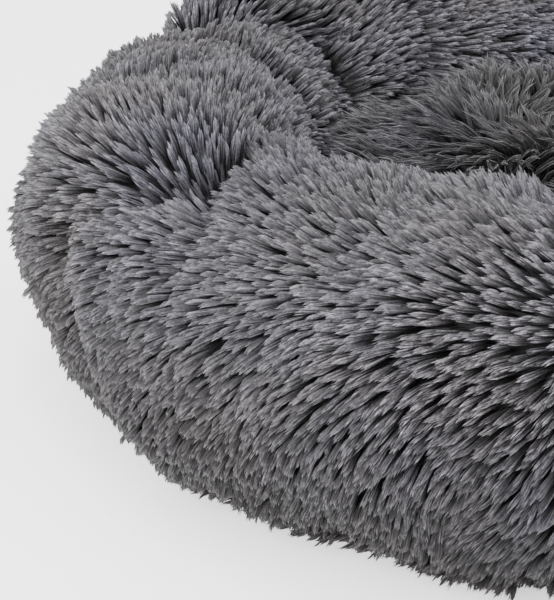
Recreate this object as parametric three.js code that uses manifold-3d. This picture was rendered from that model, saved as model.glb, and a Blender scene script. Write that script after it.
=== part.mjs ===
// Round pet cushion bed: a fur-covered ring bolster sewn to a zipped base, and a loose centre cushion.
// Units are millimetres, +Z is up, and the origin is the centre of the underside.

import * as THREE from 'three';
import { mergeVertices } from 'three/addons/utils/BufferGeometryUtils.js';
import Module from 'manifold-3d';

const wasm = await Module();
wasm.setup();

// ---- Driving sizes ----
const BED_DIAMETER = 700;        // over the laid pile
const BED_HEIGHT = 200;          // floor to the bolster's crest
const BOLSTER_WIDTH = 204;       // of the ring's section, over the laid pile
const PANEL_COUNT = 6;           // fur panels round the bolster
const FIRST_SEAM_DEG = -131;     // one radial seam; the others follow at equal steps
const FOOT_ANGLE_DEG = 70;       // below the section's middle, where the panels are sewn to the base
const PILE = 14;                 // backing cloth and laid pile together
const LINER_WALL = 1.2;
const STUFFING_SLIT = [120, 8];  // length and width of the liner's filling slit
const BASE_CLOTH = 1.2;
const FLOOR_CLOTH = 1.2;
const FLOOR_HEIGHT = 24;         // underside of the sleeping well's floor cloth
const CUSHION_THICKNESS = 122;
const CUSHION_SEAM_SHARE = 0.32; // height of the cushion's side seam in its thickness
const CUSHION_UNDER_CLOTH = 2;
const CUSHION_ROUNDNESS = 2.5;   // exponent of the cushion's superellipse section
const DOT_HEIGHT = 1;
const DOT_RADIUS = 5;
const DOT_RINGS = [[0.34, 8], [0.63, 14], [0.9, 20]]; // share of the base's radius, and dots in that ring
const FILM = 0.6;
const FILM_MARGIN = 12;          // film edge to base edge
const BINDING = [2, 2.2];        // width and height of the bound edge
const ZIP_LENGTH = 260;          // of the coils
const ZIP_TAPE = [14.4, 0.6];    // width and thickness of each tape
const ZIP_COIL = [2.2, 1.5];     // width and height of each coil
const ZIP_OPENING_WIDTH = 30;    // between the turned-up edges of the base cloth
const ZIP_DEPTH = 8.1;           // tape's height above the base cloth's underside
const ZIP_END_ROOM = 6;          // beyond the pull, when the slider is at either end
const STOP = [3, 7.6, 2];        // length, width and height of an end stop
const SLIDER = [9, 9, 1];        // length, width and plate thickness
const SLIDER_POST = [4, 2];      // length and width of the post between the plates
const BAIL = [5, 1.6, 3];        // length, width and height of the loop under the slider
const BAIL_HOLE_RADIUS = 0.9;
const PULLER = [22, 6.4, 1];     // length, width and thickness
const PULLER_PIN_RADIUS = 0.55;
const CARE_TAB = [26, 20, 0.8];  // width, length and thickness

// ---- Clearances ----
const GAP = 0.3;                 // between sewn or touching pieces
const FILL_EASE = 2.5;           // bolster cover to liner
const SNUG = 0.5;                // filling to its bag, cushion to floor
const CUSHION_CLEARANCE = 8;     // cushion to the ring's narrowest inner radius

// ---- Facets ----
const RING_STEPS = 48;
const CUSHION_STEPS = 32;
const COVER_ARC_STEPS = [3, 8];  // below and above the section's middle
const LINER_ARC_STEPS = 12;
const CUSHION_ARC_STEPS = 7;

// ---- Sizes that follow ----
const toRad = THREE.MathUtils.degToRad;
const footAngle = toRad(FOOT_ANGLE_DEG);
const filmBottom = DOT_HEIGHT;
const filmTop = filmBottom + FILM;
const clothBottom = filmTop + GAP;
const clothTop = clothBottom + BASE_CLOTH;
const footHeight = clothTop + GAP;
const ringRadius = (BED_DIAMETER - BOLSTER_WIDTH) / 2;
const sectionHalfWidth = BOLSTER_WIDTH / 2;
const sectionHalfHeight = (BED_HEIGHT - footHeight) / (1 + Math.sin(footAngle));
const sectionMiddle = BED_HEIGHT - sectionHalfHeight;
const baseRadius = ringRadius + sectionHalfWidth * Math.cos(footAngle);
const floorTop = FLOOR_HEIGHT + FLOOR_CLOTH;
const cushionRadius = ringRadius - sectionHalfWidth - CUSHION_CLEARANCE;
const cushionBottom = floorTop + SNUG;
const cushionSeam = cushionBottom + CUSHION_THICKNESS * CUSHION_SEAM_SHARE;
const cushionTop = cushionBottom + CUSHION_THICKNESS;
const openingLength = ZIP_LENGTH + 2 * (PULLER[0] + ZIP_END_ROOM);
const tapeBottom = clothBottom + ZIP_DEPTH;
const coilTop = tapeBottom - GAP;
const coilBottom = coilTop - ZIP_COIL[1];
const coilInner = SLIDER_POST[1] / 2 + GAP;
const sliderRestX = ZIP_LENGTH / 2 - SLIDER[0] / 2;
const sliderPlateTop = coilBottom - GAP;
const sliderPlateBottom = sliderPlateTop - SLIDER[2];
const pinHeight = sliderPlateBottom - BAIL[2] / 2;
const grooveTop = tapeBottom + ZIP_TAPE[1] + GAP + SLIDER[2] + 1;

// ---- Small helpers ----

// Welds a three.js geometry into a manifold solid whose faces point out.
function solid(geometry) {
  const plain = geometry.clone();
  plain.deleteAttribute('normal');
  plain.deleteAttribute('uv');
  const welded = mergeVertices(plain, 1e-4);
  const at = welded.attributes.position;
  const index = welded.index.array;
  const faces = [];
  let volume = 0;
  const [a, b, c] = [new THREE.Vector3(), new THREE.Vector3(), new THREE.Vector3()];
  for (let i = 0; i < index.length; i += 3) {
    const [p, q, r] = [index[i], index[i + 1], index[i + 2]];
    if (p === q || q === r || p === r) continue;
    faces.push(p, q, r);
    a.fromBufferAttribute(at, p);
    b.fromBufferAttribute(at, q);
    c.fromBufferAttribute(at, r);
    volume += a.dot(b.cross(c));
  }
  if (volume < 0) faces.reverse();
  return new wasm.Manifold(new wasm.Mesh({
    numProp: 3, vertProperties: new Float32Array(at.array), triVerts: new Uint32Array(faces),
  }));
}

function geometryOf(body) {
  const mesh = body.getMesh();
  const geometry = new THREE.BufferGeometry();
  const points = new Float32Array(mesh.numVert * 3);
  for (let v = 0; v < mesh.numVert; v++) {
    for (let k = 0; k < 3; k++) points[3 * v + k] = mesh.vertProperties[v * mesh.numProp + k];
  }
  geometry.setAttribute('position', new THREE.BufferAttribute(points, 3));
  geometry.setIndex(new THREE.BufferAttribute(new Uint32Array(mesh.triVerts), 1));
  geometry.computeVertexNormals();
  return geometry;
}

// A body turned about Z from a closed profile of [radius, height] points.
function turned(profile, steps) {
  const points = [...profile, profile[0]].map(([r, z]) => new THREE.Vector2(r, z));
  return solid(new THREE.LatheGeometry(points, steps).rotateX(Math.PI / 2));
}

function box(lengthX, widthY, heightZ, x, y, z) {
  return solid(new THREE.BoxGeometry(lengthX, widthY, heightZ).translate(x, y, z));
}

function disc(radius, bottom, top, steps = RING_STEPS) {
  return turned([[0, bottom], [radius, bottom], [radius, top], [0, top]], steps);
}

// A point on the bolster's section, inset from its outer surface. Angle 0 faces outwards, 90 up.
function sectionPoint(angle, inset) {
  return [
    ringRadius + (sectionHalfWidth - inset) * Math.cos(angle),
    sectionMiddle + (sectionHalfHeight - inset) * Math.sin(angle),
  ];
}

function sectionArc(inset, from, to, steps) {
  return Array.from({ length: steps + 1 }, (_, i) => sectionPoint(from + (to - from) * i / steps, inset));
}

// The section's outline from its outer foot over the crest to its inner foot.
function coverArc(inset) {
  const [below, above] = COVER_ARC_STEPS;
  return [
    ...sectionArc(inset, -footAngle, 0, below),
    ...sectionArc(inset, 0, Math.PI, above).slice(1),
    ...sectionArc(inset, Math.PI, Math.PI + footAngle, below).slice(1),
  ];
}

function wholeSection(inset) {
  return sectionArc(inset, 0, 2 * Math.PI, LINER_ARC_STEPS).slice(0, -1);
}

// The ring's inner radius at a height below its middle.
function wellRadius(height) {
  const rise = (sectionMiddle - height) / sectionHalfHeight;
  return ringRadius - sectionHalfWidth * Math.sqrt(Math.max(0, 1 - rise * rise));
}

// A quarter of a superellipse from the side seam to the axis.
function cushionCurve(radius, height, direction) {
  return Array.from({ length: CUSHION_ARC_STEPS + 1 }, (_, i) => {
    const t = (i / CUSHION_ARC_STEPS) * Math.PI / 2;
    const r = i === CUSHION_ARC_STEPS ? 0 : radius * Math.cos(t) ** (2 / CUSHION_ROUNDNESS);
    return [r, cushionSeam + direction * height * Math.sin(t) ** (2 / CUSHION_ROUNDNESS)];
  });
}

// ---- Bolster ----

// The whole fur cover, open along its foot, before it is divided into panels.
function bolsterCover() {
  return turned([...coverArc(0), ...coverArc(PILE).reverse()], RING_STEPS);
}

// A wedge between two radial seams, taller and wider than the bed.
function panelWedge(panel) {
  const reach = BED_DIAMETER;
  const step = 360 / PANEL_COUNT;
  const from = toRad(FIRST_SEAM_DEG + panel * step);
  const to = toRad(FIRST_SEAM_DEG + (panel + 1) * step);
  const middle = (from + to) / 2;
  const apex = GAP / 2 / Math.sin((to - from) / 2);
  const shape = new THREE.Shape();
  shape.moveTo(apex * Math.cos(middle), apex * Math.sin(middle));
  for (const angle of [from, middle, to]) {
    shape.lineTo(
      apex * Math.cos(middle) + reach * Math.cos(angle),
      apex * Math.sin(middle) + reach * Math.sin(angle),
    );
  }
  return solid(new THREE.ExtrudeGeometry(shape, { depth: 2 * BED_HEIGHT, bevelEnabled: false }));
}

function bolsterLiner() {
  const outer = turned(wholeSection(PILE + FILL_EASE), RING_STEPS);
  const inner = turned(wholeSection(PILE + FILL_EASE + LINER_WALL), RING_STEPS);
  const under = sectionPoint(-Math.PI / 2, PILE + FILL_EASE);
  const slit = box(STUFFING_SLIT[0], STUFFING_SLIT[1], sectionHalfHeight / 2, 0, under[0], under[1]);
  return outer.subtract(inner).subtract(slit);
}

function bolsterFilling() {
  return turned(wholeSection(PILE + FILL_EASE + LINER_WALL + SNUG), RING_STEPS);
}

// ---- Floor of the well and base ----

function wellFloor() {
  return disc(wellRadius(floorTop) - SNUG, FLOOR_HEIGHT, floorTop);
}

// Wadding under the well, hollowed along its underside to clear the zip.
function basePad() {
  const bottom = clothTop + GAP;
  const top = FLOOR_HEIGHT - GAP;
  const levels = [0, 1 / 3, 2 / 3, 1].map((share) => bottom + (top - bottom) * share);
  const rim = levels.map((z) => [wellRadius(z) - SNUG, z]);
  const groove = box(openingLength + 8, ZIP_OPENING_WIDTH + 8, 2 * grooveTop, 0, 0, 0);
  return turned([[0, bottom], ...rim, [0, top]], RING_STEPS).subtract(groove);
}

// Base cloth with the zip opening, whose edges are turned up to meet the tapes.
function basePanel() {
  const height = tapeBottom - GAP - clothBottom;
  const middle = clothBottom + height / 2;
  const upstand = box(openingLength + 2 * BASE_CLOTH, ZIP_OPENING_WIDTH + 2 * BASE_CLOTH, height, 0, 0, middle);
  const opening = box(openingLength, ZIP_OPENING_WIDTH, 4 * height, 0, 0, middle);
  return disc(baseRadius, clothBottom, clothTop).add(upstand).subtract(opening);
}

// Anti-slip film with raised dots, cut out round the zip opening.
function gripLayer() {
  const overlap = FILM / 2;
  let layer = disc(baseRadius - FILM_MARGIN, filmBottom, filmTop);
  for (const [share, count] of DOT_RINGS) {
    const radius = share * baseRadius;
    for (let i = 0; i < count; i++) {
      const angle = 2 * Math.PI * (i + 0.5) / count;
      const x = radius * Math.cos(angle);
      const y = radius * Math.sin(angle);
      const dot = new THREE.CylinderGeometry(DOT_RADIUS, 0.8 * DOT_RADIUS, DOT_HEIGHT + overlap, 6);
      layer = layer.add(solid(dot.rotateX(Math.PI / 2).translate(x, y, (DOT_HEIGHT + overlap) / 2)));
    }
  }
  const opening = box(openingLength + 2 * BASE_CLOTH, ZIP_OPENING_WIDTH + 2 * BASE_CLOTH, 4 * filmTop, 0, 0, 0);
  return layer.subtract(opening);
}

function edgeBinding() {
  const inner = baseRadius + GAP;
  const outer = inner + BINDING[0];
  const bottom = filmBottom;
  const top = bottom + BINDING[1];
  return turned([[inner, bottom], [outer, bottom], [outer, top], [inner, top]], RING_STEPS);
}

function careTab() {
  const start = baseRadius + GAP + BINDING[0] + GAP;
  return box(CARE_TAB[0], CARE_TAB[1], CARE_TAB[2], 0, start + CARE_TAB[1] / 2, filmBottom + CARE_TAB[2]);
}

// ---- Zip, running along X under the middle of the base ----

function zipTape(side) {
  const width = ZIP_TAPE[0];
  const length = openingLength + 2 * BASE_CLOTH;
  return box(length, width, ZIP_TAPE[1], 0, side * (coilInner + GAP + width / 2), tapeBottom + ZIP_TAPE[1] / 2);
}

function zipCoil(side) {
  const [width, height] = ZIP_COIL;
  return box(ZIP_LENGTH, width, height, 0, side * (coilInner + width / 2), coilBottom + height / 2);
}

function zipStop(end) {
  const [length, width, height] = STOP;
  return box(length, width, height, end * (ZIP_LENGTH / 2 + GAP + length / 2), 0, coilTop - height / 2);
}

// A flat plate outlined in X and Z, with one round hole, of a given width along Y.
function sidePlate(length, height, width, holeRadius) {
  const shape = new THREE.Shape();
  shape.moveTo(-length / 2, height / 2);
  shape.lineTo(-length / 2, 0);
  shape.absarc(-length / 2 + height / 2, 0, height / 2, Math.PI, 1.5 * Math.PI);
  shape.absarc(length / 2 - height / 2, 0, height / 2, 1.5 * Math.PI, 2 * Math.PI);
  shape.lineTo(length / 2, height / 2);
  shape.closePath();
  shape.holes.push(new THREE.Path().absarc(0, 0, holeRadius, 0, 2 * Math.PI));
  const plate = new THREE.ExtrudeGeometry(shape, { depth: width, bevelEnabled: false, curveSegments: 6 });
  return plate.rotateX(Math.PI / 2).translate(0, width / 2, 0);
}

function zipSlider() {
  const [length, width, plate] = SLIDER;
  const upperBottom = tapeBottom + ZIP_TAPE[1] + GAP;
  const lower = box(length, width, plate, 0, 0, sliderPlateTop - plate / 2);
  const upper = box(length, width, plate, 0, 0, upperBottom + plate / 2);
  const postHeight = upperBottom - sliderPlateTop + plate;
  const post = box(SLIDER_POST[0], SLIDER_POST[1], postHeight, 0, 0, sliderPlateTop - plate / 2 + postHeight / 2);
  const bail = solid(sidePlate(BAIL[0], BAIL[2], BAIL[1], BAIL_HOLE_RADIUS).translate(0, 0, pinHeight));
  return lower.add(upper).add(post).add(bail.translate(0, 0, 0.01)).translate(sliderRestX, 0, 0);
}

// Flat pull, forked at the hinge end, with the fork closed by the pin that runs through the bail.
function zipPuller() {
  const [length, width, thick] = PULLER;
  const forkDepth = BAIL[0] / 2 + 2 * GAP;
  const half = BAIL[1] / 2 + GAP;
  const shape = new THREE.Shape();
  shape.moveTo(0, half);
  shape.lineTo(0, width / 2);
  shape.lineTo(-length + width / 2, width / 2);
  shape.absarc(-length + width / 2, 0, width / 2, Math.PI / 2, 1.5 * Math.PI);
  shape.lineTo(0, -width / 2);
  shape.lineTo(0, -half);
  shape.lineTo(-forkDepth, -half);
  shape.lineTo(-forkDepth, half);
  shape.closePath();
  const plate = new THREE.ExtrudeGeometry(shape, { depth: thick, bevelEnabled: false, curveSegments: 6 });
  const pin = new THREE.CylinderGeometry(PULLER_PIN_RADIUS, PULLER_PIN_RADIUS, width, 10);
  return solid(plate.translate(0, 0, -thick / 2)).add(solid(pin)).translate(sliderRestX, 0, pinHeight);
}

// ---- Centre cushion ----

function cushionTopCover() {
  const height = cushionTop - cushionSeam - GAP / 2;
  const outer = cushionCurve(cushionRadius, height, 1);
  const inner = cushionCurve(cushionRadius - PILE, height - PILE, 1);
  return turned([...outer, ...inner.reverse()], CUSHION_STEPS).translate(0, 0, GAP / 2);
}

function cushionUnderCover() {
  const height = cushionSeam - cushionBottom - GAP / 2;
  const outer = cushionCurve(cushionRadius, height, -1);
  const inner = cushionCurve(cushionRadius - CUSHION_UNDER_CLOTH, height - CUSHION_UNDER_CLOTH, -1);
  return turned([...outer, ...inner.reverse()], CUSHION_STEPS).translate(0, 0, -GAP / 2);
}

function cushionFilling() {
  const radius = cushionRadius - PILE - FILL_EASE;
  const upper = cushionCurve(radius, cushionTop - cushionSeam - PILE - FILL_EASE, 1);
  const lower = cushionCurve(radius, cushionSeam - cushionBottom - CUSHION_UNDER_CLOTH - FILL_EASE, -1);
  return turned([...upper, ...lower.reverse().slice(0, -1)], CUSHION_STEPS);
}

// ---- Assembly ----

const FUR = { color: 0x6d6e74, roughness: 0.95, metalness: 0 };
const WADDING = { color: 0xe9e7e1, roughness: 1, metalness: 0 };
const LINING = { color: 0xd8d6cf, roughness: 0.9, metalness: 0 };
const BASE = { color: 0x3b3c40, roughness: 0.85, metalness: 0 };
const GRIP = { color: 0x2b2c2f, roughness: 0.7, metalness: 0 };
const NYLON = { color: 0x2e2f33, roughness: 0.45, metalness: 0 };
const METAL = { color: 0x8d8f94, roughness: 0.35, metalness: 0.9 };
const TAB = { color: 0xf1f0ec, roughness: 0.8, metalness: 0 };

const bed = new THREE.Group();

function place(name, body, look) {
  const mesh = new THREE.Mesh(geometryOf(body), new THREE.MeshStandardMaterial(look));
  mesh.name = name;
  bed.add(mesh);
}

const cover = bolsterCover();
for (let panel = 0; panel < PANEL_COUNT; panel++) {
  place(`bolster_cover_${panel + 1}`, cover.intersect(panelWedge(panel)), FUR);
}
place('bolster_liner', bolsterLiner(), LINING);
place('bolster_filling', bolsterFilling(), WADDING);
place('well_floor', wellFloor(), FUR);
place('base_pad', basePad(), WADDING);
place('base_panel', basePanel(), BASE);
place('grip_layer', gripLayer(), GRIP);
place('edge_binding', edgeBinding(), BASE);
place('care_tab', careTab(), TAB);
place('zip_tape_front', zipTape(-1), BASE);
place('zip_tape_back', zipTape(1), BASE);
place('zip_coil_front', zipCoil(-1), NYLON);
place('zip_coil_back', zipCoil(1), NYLON);
place('zip_stop_closed_end', zipStop(1), METAL);
place('zip_stop_open_end', zipStop(-1), METAL);
place('zip_slider', zipSlider(), METAL);
place('zip_puller', zipPuller(), METAL);
place('cushion_top_cover', cushionTopCover(), FUR);
place('cushion_under_cover', cushionUnderCover(), BASE);
place('cushion_filling', cushionFilling(), WADDING);

export default bed;
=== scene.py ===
import math

import bmesh
import bpy
import numpy as np
from mathutils import Matrix, Vector, noise


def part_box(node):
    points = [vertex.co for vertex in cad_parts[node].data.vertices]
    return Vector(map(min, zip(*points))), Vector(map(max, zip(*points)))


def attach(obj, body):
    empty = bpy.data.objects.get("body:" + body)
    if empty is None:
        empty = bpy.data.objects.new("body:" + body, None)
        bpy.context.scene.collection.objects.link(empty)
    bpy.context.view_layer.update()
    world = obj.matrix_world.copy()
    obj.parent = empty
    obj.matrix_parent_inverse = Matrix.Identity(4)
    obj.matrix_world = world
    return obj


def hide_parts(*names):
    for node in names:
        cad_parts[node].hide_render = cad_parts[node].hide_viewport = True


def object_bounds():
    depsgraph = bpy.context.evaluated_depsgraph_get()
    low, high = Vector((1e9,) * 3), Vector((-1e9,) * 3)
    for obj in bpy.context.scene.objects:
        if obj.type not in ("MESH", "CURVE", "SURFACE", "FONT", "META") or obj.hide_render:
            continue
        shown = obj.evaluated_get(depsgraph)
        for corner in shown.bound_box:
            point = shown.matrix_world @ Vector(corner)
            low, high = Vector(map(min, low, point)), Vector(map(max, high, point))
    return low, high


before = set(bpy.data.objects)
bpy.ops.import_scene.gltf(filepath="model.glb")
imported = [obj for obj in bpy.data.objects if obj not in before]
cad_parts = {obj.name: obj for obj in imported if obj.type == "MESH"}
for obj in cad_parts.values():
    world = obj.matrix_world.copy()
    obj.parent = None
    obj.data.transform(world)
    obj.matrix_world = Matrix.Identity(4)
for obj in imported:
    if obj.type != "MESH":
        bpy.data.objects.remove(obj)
cad_low, cad_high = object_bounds()

# ---------------------------------------------------------------- sizes, in metres and degrees

SEED = 11
PANELS = 6
FIRST_SEAM = -131.0  # azimuth of one radial seam
FOOT_ANGLE = 70.0  # where the cover meets the base, below the section's middle
CUSHION_CLEARANCE = 0.008
SKIN_INSET = 0.018  # laid pile above the backing cloth
BACKING = 0.002

RING_STEPS = 240
SECTION_STEPS = 44
SEAM_PINCH = 0.017
SEAM_SPREAD = 4.5  # degrees
LUMP = 0.006
# a crease wanders off its seam and fades down the outer side: (section angle, value)
CREASE_WANDER = [(-20, -5), (30, -15), (45, -10), (58, -1), (75, -2), (91, -4), (104, -12), (118, -16), (140, -14)]
CREASE_DEPTH = [(0, 0.12), (35, 0.25), (55, 0.85), (70, 1), (105, 1), (130, 0.5), (170, 0.3)]

OUTER_TUCK = [(-60, 0.003), (0, 0.003), (30, 0.001), (50, 0)]  # the outer side sits further in
# painted shade and painted light over the section: darker on the outer side's lower part and along the top, lighter
# down the inner wall: (section angle, tone)
SECTION_PAINTED_SHADING = [(-60, -0.5), (-10, -0.45), (25, -0.2), (50, 0), (78, -0.5), (106, -0.5), (124, 0.05), (140, 0.3)]
CREST_FRONT = -110.0  # azimuth where the pile on the inner edge stands up most
SAG_AZIMUTH = -127.0  # the pile spreads lower and wider beside this crease
SAG_WIDTH = 15.0
SAG_DEPTH = 0.008
SHOULDER_DROP = 0.012  # the inner shoulder slopes towards the well
LOCK_SPACING = 0.0037
LOCK_RADIUS = 0.0017
STRANDS = 8
STRAND_RADIUS = 0.00042
SLANT = 0.07  # of a strand's length, across its cut tip
PILE_LENGTH = 0.030
CUSHION_SPACING = 0.0048
CUSHION_PILE = 0.041
DIMPLE_DEPTH = 0.018
DIMPLE_RADIUS = 0.055
CUSHION_SQUARENESS = 5.0
SEAM_COVER = 0.006  # how far below its side seam the cushion's pile is planted
FLOOR_EASE = 0.004  # pile lower than this bends along the floor

CLOTH = 0.0012  # the base cloth's thickness
FOLD = 0.0012  # radius of the base cloth's turned-up edge
FILM = 0.0006
GRIP_SPACING = 0.014
GRIP_DOT = 0.0024
STITCH_PITCH = 0.0045
STITCH = (0.0032, 0.0006, 0.0005)  # length, width and height of one stitch
COIL_PITCH = 0.0015
COIL_THREAD = 0.00034
NAP_SPACING = 0.006
NAP_LENGTH = 0.005
FLOOR_BACKING = 0.0005

# ---------------------------------------------------------------- the bed's own measures, from the frame

bed_radius = cad_high.x
bed_height = cad_high.z
filling_low, filling_high = (Vector(c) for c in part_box("bolster_filling"))
cushion_low, cushion_high = (Vector(c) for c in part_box("cushion_top_cover"))
under_low, under_high = (Vector(c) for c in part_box("cushion_under_cover"))
inner_radius = cushion_high.x + CUSHION_CLEARANCE
half_width = (bed_radius - inner_radius) / 2
ring_radius = bed_radius - half_width
half_height = (filling_high.z - filling_low.z) / 2 + bed_height - filling_high.z
middle = bed_height - half_height
rng = np.random.default_rng(SEED)


# ---------------------------------------------------------------- small helpers


def link(name, mesh):
    piece = bpy.data.objects.new(name, mesh)
    bpy.context.scene.collection.objects.link(piece)
    return piece


def smooth(mesh):
    mesh.polygons.foreach_set("use_smooth", np.ones(len(mesh.polygons), bool))


def coords_of(mesh):
    flat = np.empty(len(mesh.vertices) * 3, np.float32)
    mesh.vertices.foreach_get("co", flat)
    return flat.reshape(-1, 3).astype(float)


def unit(v):
    return v / np.maximum(np.linalg.norm(v, axis=-1, keepdims=True), 1e-12)


def ramp(x, points):
    return np.interp(x, [p[0] for p in points], [p[1] for p in points])


def smooth_noise(points, scale, offset=0.0):
    """Perlin noise in about -1 to 1 at each point."""
    shift = Vector((offset, 0.37 * offset, -0.61 * offset))
    return np.array([noise.noise(Vector(p) * scale + shift) for p in points])


def write_mesh(name, points, faces):
    """A mesh of triangles from arrays of points and of corner numbers."""
    mesh = bpy.data.meshes.new(name)
    mesh.vertices.add(len(points))
    mesh.vertices.foreach_set("co", points.astype(np.float32).ravel())
    mesh.loops.add(faces.size)
    mesh.loops.foreach_set("vertex_index", faces.astype(np.int32).ravel())
    mesh.polygons.add(len(faces))
    mesh.polygons.foreach_set("loop_start", np.arange(0, faces.size, 3, dtype=np.int32))
    smooth(mesh)
    mesh.update(calc_edges=True)
    return mesh


def repeated(name, shape, places):
    """One mesh with a copy of a small shape at each place, given as matrices."""
    bmesh.ops.triangulate(shape, faces=shape.faces)
    shape.verts.index_update()
    points = np.array([(*v.co, 1.0) for v in shape.verts])
    faces = np.array([[v.index for v in f.verts] for f in shape.faces])
    shape.free()
    at = np.einsum("nij,pj->npi", np.array(places), points)[..., :3]
    index = faces[None] + (np.arange(len(places)) * len(points))[:, None, None]
    return write_mesh(name, at.reshape(-1, 3), index.reshape(-1, 3))


def finished(bm, name, look, body):
    """The bmesh as a piece with its material, on its body."""
    mesh = bpy.data.meshes.new(name)
    bm.to_mesh(mesh)
    bm.free()
    smooth(mesh)
    return dressed(link(name, mesh), look, body)


def dressed(piece, look, body):
    piece.data.materials.append(look)
    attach(piece, body)
    return piece


def walled(piece, thickness, offset=-1):
    """Gives a sheet its cloth's thickness."""
    wall = piece.modifiers.new("cloth", "SOLIDIFY")
    wall.thickness = thickness
    wall.offset = offset
    return piece


def seam_distance(azimuth, angle):
    """Degrees from each point to the nearest crease, and the turn past the last crease going clockwise."""
    step = 360.0 / PANELS
    past = np.mod(FIRST_SEAM + ramp(angle, CREASE_WANDER) - azimuth, step)
    return np.minimum(past, step - past), past


# ---------------------------------------------------------------- materials


def material(name):
    mat = bpy.data.materials.new(name)
    mat.use_nodes = True
    nodes, links = mat.node_tree.nodes, mat.node_tree.links
    return mat, nodes, links, nodes["Principled BSDF"]


def ramp_node(nodes, stops):
    node = nodes.new("ShaderNodeValToRGB")
    elements = node.color_ramp.elements
    while len(elements) < len(stops):
        elements.new(0.5)
    for element, (place, colour) in zip(elements, stops):
        element.position = place
        element.color = (*colour, 1)
    return node


# Painted shade: the pile low on the ring's outer side is darkened towards the floor.
FRINGE_HEIGHT = 0.15
CRIMP_SCALE = 650.0  # per metre, of the fine light and dark along each fibre
CRIMP_TONES = (0.5, 1.5)
FRINGE_RADII = (0.26, 0.31)  # the painted shade low on the outer side starts past the first and is full at the second
FRINGE_PAINTED_SHADE = [
    (0.0, (0.22, 0.195, 0.18)),
    (0.3, (0.37, 0.355, 0.35)),
    (0.65, (0.7, 0.69, 0.695)),
    (1.0, (1.0, 1.0, 1.0)),
]


def fur_material(name, stops, tint, darkest):
    """Pile that is dark at its roots and light at its tips, and differs from lock to lock, with painted shade in the
    lock tone where callers give it and low on the ring's outer side.
    """
    mat, nodes, links, shader = material(name)
    fibre = nodes.new("ShaderNodeAttribute")
    fibre.attribute_name = "fibre"
    parts = nodes.new("ShaderNodeSeparateColor")
    links.new(fibre.outputs["Color"], parts.inputs[0])
    along = ramp_node(nodes, stops)
    links.new(parts.outputs["Blue"], along.inputs[0])

    locks = nodes.new("ShaderNodeMapRange")
    locks.inputs["To Min"].default_value = darkest
    locks.inputs["To Max"].default_value = 1.25
    links.new(parts.outputs["Red"], locks.inputs["Value"])
    strands = nodes.new("ShaderNodeMapRange")
    strands.inputs["To Min"].default_value = 0.3
    strands.inputs["To Max"].default_value = 1.9
    links.new(parts.outputs["Green"], strands.inputs["Value"])
    place = nodes.new("ShaderNodeTexCoord")
    crimp = nodes.new("ShaderNodeTexNoise")
    crimp.inputs["Scale"].default_value = CRIMP_SCALE
    crimp.inputs["Detail"].default_value = 2.0
    crimp.inputs["Roughness"].default_value = 0.7
    links.new(place.outputs["Object"], crimp.inputs["Vector"])
    crimped = nodes.new("ShaderNodeMapRange")
    crimped.inputs["From Min"].default_value, crimped.inputs["From Max"].default_value = 0.34, 0.66
    crimped.inputs["To Min"].default_value, crimped.inputs["To Max"].default_value = CRIMP_TONES
    links.new(crimp.outputs["Fac"], crimped.inputs["Value"])
    shade = crimped
    for other in (locks, strands):
        product = nodes.new("ShaderNodeMath")
        product.operation = "MULTIPLY"
        links.new(shade.outputs[0], product.inputs[0])
        links.new(other.outputs[0], product.inputs[1])
        shade = product

    broad = nodes.new("ShaderNodeTexNoise")
    broad.inputs["Scale"].default_value = 9.0
    broad.inputs["Detail"].default_value = 3.0
    links.new(place.outputs["Object"], broad.inputs["Vector"])
    tone = ramp_node(nodes, tint)
    links.new(broad.outputs["Fac"], tone.inputs[0])

    tinted = nodes.new("ShaderNodeMix")
    tinted.data_type = "RGBA"
    tinted.blend_type = "MULTIPLY"
    tinted.inputs["Factor"].default_value = 1.0
    links.new(along.outputs[0], tinted.inputs["A"])
    links.new(tone.outputs[0], tinted.inputs["B"])
    # Painted shade: darker towards the floor on the ring's outer side.
    height = nodes.new("ShaderNodeSeparateXYZ")
    links.new(place.outputs["Object"], height.inputs[0])
    low = nodes.new("ShaderNodeMapRange")
    low.inputs["From Max"].default_value = FRINGE_HEIGHT
    links.new(height.outputs["Z"], low.inputs["Value"])
    fringe = ramp_node(nodes, FRINGE_PAINTED_SHADE)
    links.new(low.outputs[0], fringe.inputs[0])
    shaded_near_floor = nodes.new("ShaderNodeMix")
    shaded_near_floor.data_type = "RGBA"
    shaded_near_floor.blend_type = "MULTIPLY"
    flat = nodes.new("ShaderNodeVectorMath")
    flat.operation = "MULTIPLY"
    flat.inputs[1].default_value = (1, 1, 0)
    links.new(place.outputs["Object"], flat.inputs[0])
    radius = nodes.new("ShaderNodeVectorMath")
    radius.operation = "LENGTH"
    links.new(flat.outputs[0], radius.inputs[0])
    outside = nodes.new("ShaderNodeMapRange")
    outside.inputs["From Min"].default_value, outside.inputs["From Max"].default_value = FRINGE_RADII
    links.new(radius.outputs["Value"], outside.inputs["Value"])
    links.new(outside.outputs[0], shaded_near_floor.inputs["Factor"])
    links.new(tinted.outputs["Result"], shaded_near_floor.inputs["A"])
    links.new(fringe.outputs[0], shaded_near_floor.inputs["B"])
    scaled = nodes.new("ShaderNodeVectorMath")
    scaled.operation = "SCALE"
    links.new(shaded_near_floor.outputs["Result"], scaled.inputs[0])
    links.new(shade.outputs[0], scaled.inputs["Scale"])
    links.new(scaled.outputs[0], shader.inputs["Base Color"])
    shader.inputs["Roughness"].default_value = 0.62
    shader.inputs["Specular IOR Level"].default_value = 0.28
    shader.inputs["Sheen Weight"].default_value = 0.08
    shader.inputs["Sheen Roughness"].default_value = 0.4
    return mat


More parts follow.
